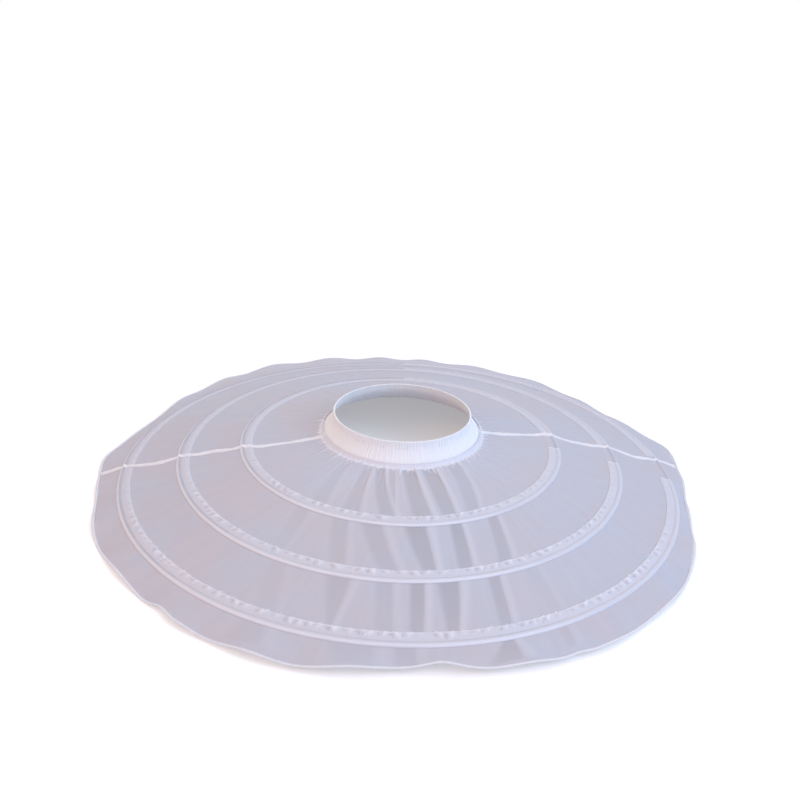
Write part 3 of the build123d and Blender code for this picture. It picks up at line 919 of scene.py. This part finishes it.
tapeShape = {
    "columns": 560, "hoop": 1.6, "sewn": 1.6, "sewnFrom": 19.8, "below": 0.75,
    "flat": (0, 0.8, 1.6, 3, 5, 7.5, 10), "byHoop": (1.6, 0.5), "pastHoop": (0.5, 1.4),
    "slope": 0.9, "pucker": 0.3, "puckerSeed": 90, "puckerCounts": (61, 83, 127, 171),
    "underHoop": 0.06, "cornerShare": 0.45, "riseShare": 0.3, "cornerHalf": 0.6,
    "touch": 0.3, "touchBelow": 0.5,
}


def tapeLevel(step, radius, angles, upper, inner, outer, bottom):
    # height of the tape's upper face, one row across it at a time
    shape = tapeShape
    base = lineHeight(radius) - shape["below"]
    share = (step - shape["sewn"]) / (inner - upper - 2 * shape["sewn"])
    if step <= shape["sewn"] or step >= shape["sewnFrom"]:
        cloth = skirtSurface(angles, np.full_like(angles, radius))[0]
        return np.minimum(cloth - shape["touch"], base + shape["touchBelow"])
    if step <= inner - upper - shape["byHoop"][0]:
        pucker = shape["pucker"] * uneven(angles, shape["puckerSeed"], shape["puckerCounts"])
        return base - shape["slope"] * share + pucker * math.sin(math.pi * share)
    if radius <= outer + shape["cornerHalf"]:
        sunk = 1.0 if inner - shape["cornerHalf"] <= radius else shape["cornerShare"]
        return base - (base - bottom + shape["underHoop"]) * sunk + 0 * angles
    return base - (base - bottom) * shape["riseShare"] + 0 * angles


def casingTape(name, edge):
    upper = edge - casing["width"]
    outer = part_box(f"{name}_hoop")[1].y / mm  # the hoop's outer face
    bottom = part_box(f"{name}_hoop")[0].z / mm
    inner = outer - tapeShape["hoop"]
    steps = list(tapeShape["flat"]) + [inner - upper - gap for gap in tapeShape["byHoop"]]
    steps += [inner - upper, outer - upper] + [outer - upper + gap for gap in tapeShape["pastHoop"]]
    steps += [tapeShape["sewnFrom"], casing["width"]]
    angles = np.linspace(casingStart(edge), casingStop(), tapeShape["columns"])
    rows = []
    for step in steps:
        radius = upper + step
        level = tapeLevel(step, radius, angles, upper, inner, outer, bottom)
        rows.append(polar(angles, radius + 0 * angles, level))
    rows += [row - np.array([0, 0, casing["tape"]]) for row in rows[::-1]]
    points = np.stack(rows)
    faces = gridFaces(len(rows), len(angles), closedRows=True).tolist() + endCaps(len(rows), len(angles))
    across = np.array(steps + steps[::-1])[:, None]
    uvs = np.stack(np.broadcast_arrays(angles * edge, across), -1)
    piece = addMesh(f"{name}_casing_tape", points, faces, uvs=uvs)
    finishPiece(piece, materials["tape"], "tape", f"{name}_casing")


for name, edge in skirt["hoopEdges"].items():
    casingTape(name, edge)
print("casings laid")


# Side seams: the two panels' edges turned to one side and overlocked

sideSeam = {
    "half": 4.5, "rise": 1.7, "step": 1.6, "thickness": 0.5, "start": 131.5, "intoHem": 1.5,
    # share of the half width, and of the rise, across the seam
    "across": [-1.0, -0.9, -0.5, 0.0, 0.5, 0.9, 1.0], "rises": [-0.5, 0.55, 0.9, 1.0, 0.85, 0.5, -0.5],
    # waves along it: size, length, and how much the seam's own number shifts them
    "drift": [(1.0, 21.0, 1), (0.6, 8.3, 2)], "widen": [(0.14, 13.0, 1), (0.08, 5.1, 0)],
    "pucker": [(0.22, 2.9, 1), (0.18, 6.7, 0)],
    "loop": 0.22, "loopArch": 0.9, "loopAbove": 0.15,
}


def seamWaves(kind, radii, seamNumber, start=0):
    return sum((size * np.sin(radii / length + shift * seamNumber)
                for size, length, shift in sideSeam[kind]), start)


def seamRidge(name, middle, seamNumber, replaced):
    shape = sideSeam
    end = skirt["hemRadius"] - hem["width"] + shape["intoHem"]
    radii = np.arange(shape["start"], end, shape["step"])
    drift = seamWaves("drift", radii, seamNumber)
    widened = seamWaves("widen", radii, seamNumber, 1)
    pucker = seamWaves("pucker", radii, seamNumber)
    line = middle + wander(middle, radii)
    across = drift[None] + np.array(shape["across"])[:, None] * shape["half"] * widened[None]
    angle = line[None] + np.arcsin(across / radii[None])
    rises = np.array(shape["rises"])[:, None]
    cloth = skirtSurface(angle, radii[None])[0]
    centre = skirtSurface(line + np.arcsin(drift / radii), radii)[0]
    height = 0.5 * cloth + 0.5 * centre[None] + rises * shape["rise"] + pucker[None] * (rises > 0)
    top = polar(angle, np.broadcast_to(radii, angle.shape), height)
    points = np.concatenate([top, top[[-1, 0]] - np.array([0, 0, shape["thickness"]])])
    count = len(radii)
    faces = gridFaces(len(points), count, closedRows=True).tolist() + endCaps(len(points), count)
    uvs = np.stack(np.broadcast_arrays(radii, points[..., 1]), -1)
    finishPiece(addMesh(name, points, faces, uvs=uvs), materials["seam"], "organza_seam", replaced)

    # overlocking: a loop of thread over the seam at every other row
    picks = np.arange(1, count - 2, 2)
    above = np.array([0, 0, shape["loopAbove"]])
    loops = addStitches(f"{name}_overlock", top[1][picks] + above, top[5][picks + 1] + above,
                        thick=shape["loop"], high=shape["loopArch"])
    finishPiece(loops, materials["thread"], "thread")


seamRidge("right_seam_cloth", 0.0, 1.0, "right_side_seam")
seamRidge("left_seam_cloth", math.pi, 2.6, "left_side_seam")
print("seams overlocked")


# Hem: a narrow rolled edge wrapped in thread, its turns leaning along the edge

hemWrap = {"pitch": 2.6, "depth": 0.22, "pointsEach": 4, "sides": 8}


def hemRoll():
    wraps = int(math.tau * skirt["hemRadius"] / hemWrap["pitch"])
    angles = np.linspace(0, math.tau, wraps * hemWrap["pointsEach"], endpoint=False)
    edge = hemEdge(angles)
    rise = hemRise(angles)
    rows = []
    for turn in np.arange(hemWrap["sides"]) * math.tau / hemWrap["sides"]:
        wrap = 1 + hemWrap["depth"] * (np.cos(angles * wraps + turn) * 0.5 - 0.5)
        radius = edge - hem["width"] / 2 + hem["width"] / 2 * math.cos(turn) * wrap
        height = rise + hem["thickness"] / 2 + hem["thickness"] / 2 * math.sin(turn) * wrap
        rows.append(polar(angles, radius, height))
    faces = gridFaces(len(rows), len(angles), closedColumns=True, closedRows=True)
    piece = addMesh("hem_roll", np.stack(rows), faces)
    finishPiece(piece, materials["thread"], "thread", "hem_overlock")


hemRoll()
print("hem rolled")


# Pieces that keep their solid form
kept = {"waist_elastic": "elastic"}
for name in skirt["hoopEdges"]:
    kept[f"{name}_hoop"] = "coat"
    kept[f"{name}_hoop_joiner"] = "sleeve"
for name, material in kept.items():
    nodes[name].data.materials.clear()
    nodes[name].data.materials.append(materials[material])


# Floor, light and camera

# Distances from the waist's axis in metres: the floor's own glow grows from near to far
stage = {
    "floorHalf": 6.0, "floor": "#f4f4f6", "glow": 0.30, "glowFar": 1.0, "near": 0.62, "far": 1.5,
    "world": 0.475, "lampAim": (0, 0, 0.1),
}


def backgroundRays(tree):
    # 1 for the rays that show the background: the camera's own, and those off gloss or through glass
    path = addNode(tree, "LightPath", {})
    seen = addNode(tree, "Math", {"operation": "MAXIMUM"},
        {0: path.outputs["Is Camera Ray"], 1: path.outputs["Is Glossy Ray"]})
    return addNode(tree, "Math", {"operation": "MAXIMUM"},
        {0: seen.outputs[0], 1: path.outputs["Is Transmission Ray"]}).outputs[0]


def floorMaterial():
    # Painted studio floor: matt and almost white; it takes the shadow, and is plain white further off
    material, tree = newMaterial("matt painted floor")
    shown = backgroundRays(tree)
    place = addNode(tree, "TexCoord", {})
    distance = addNode(tree, "VectorMath", {"operation": "LENGTH"}, {0: place.outputs["Object"]})
    glow = addNode(tree, "MapRange", {
        "From Min": stage["near"], "From Max": stage["far"], "To Min": stage["glow"],
        "To Max": stage["glowFar"], "interpolation_type": "SMOOTHSTEP",
    }, {"Value": distance.outputs["Value"]})
    strength = addNode(tree, "Math", {"operation": "MULTIPLY"}, {0: glow.outputs["Result"], 1: shown})
    shader = addNode(tree, "BsdfPrincipled", {
        "Base Color": linear(stage["floor"]), "Roughness": 0.9, "Specular IOR Level": 0.1,
        "Emission Color": (1, 1, 1, 1),
    }, {"Emission Strength": strength.outputs[0]})
    return closeMaterial(material, shader)


half = stage["floorHalf"]
corners = [(-half, -half, 0), (half, -half, 0), (half, half, 0), (-half, half, 0)]
floorMesh = bpy.data.meshes.new("studio_floor")
floorMesh.from_pydata(corners, [], [(0, 1, 2, 3)])
floorMesh.materials.append(floorMaterial())
floor = addObject("studio_floor", floorMesh)

world = bpy.data.worlds.new("studio")
bpy.context.scene.world = world
world.use_nodes = True
tree = world.node_tree
tree.nodes.clear()
strength = addNode(tree, "MapRange", {"To Min": stage["world"], "To Max": 1.0},
    {"Value": backgroundRays(tree)})
sky = addNode(tree, "Background", {"Color": (1, 1, 1, 1)}, {"Strength": strength.outputs["Result"]})
addNode(tree, "OutputWorld", {}, {"Surface": sky.outputs[0]})

lamps = [
    {"name": "left_window", "at": (-2.2, -1.3, 1.7), "size": 1.8, "watts": 19, "colour": "#ffa860"},
    {"name": "right_window", "at": (2.1, -1.2, 1.9), "size": 1.8, "watts": 35, "colour": "#bcd8ff"},
    {"name": "front_fill", "at": (0.3, -2.6, 0.8), "size": 1.4, "watts": 10, "colour": "#c6dbff"},
    {"name": "overhead", "at": (0.1, 0.9, 2.6), "size": 2.4, "watts": 22, "colour": "#fafbff"},
]
for lamp in lamps:
    light = bpy.data.lights.new(lamp["name"], "AREA")
    light.size = lamp["size"]
    light.energy = lamp["watts"]
    light.color = linear(lamp["colour"])[:3]
    shown = addObject(lamp["name"], light)
    shown.location = lamp["at"]
    aim = Vector(stage["lampAim"]) - Vector(lamp["at"])
    shown.rotation_euler = aim.to_track_quat("-Z", "Y").to_euler()

viewpoint = {"aim": (-4.8, 0.0, 132.8), "distance": 1356.0, "elevation": 24.2, "roll": 2.7, "lens": 37.0}
elevation, roll = math.radians(viewpoint["elevation"]), math.radians(viewpoint["roll"])
forward = Vector((0, math.cos(elevation), -math.sin(elevation)))
across = Vector((1, 0, 0))
upward = across.cross(forward)
camera = addObject("camera", bpy.data.cameras.new("camera"))
camera.data.lens = viewpoint["lens"]
camera.data.sensor_width = 36
turned = Matrix((math.cos(roll) * across + math.sin(roll) * upward,
                 math.cos(roll) * upward - math.sin(roll) * across, -forward)).transposed()
eye = (Vector(viewpoint["aim"]) - forward * viewpoint["distance"]) * mm
stand = Matrix.Translation(eye) @ turned.to_4x4()
camera.matrix_world = Matrix.Rotation(math.radians(-skirt["turn"]), 4, "Z") @ stand
bpy.context.scene.camera = camera
bpy.context.scene.view_settings.view_transform = "Standard"
print("stage and camera set")
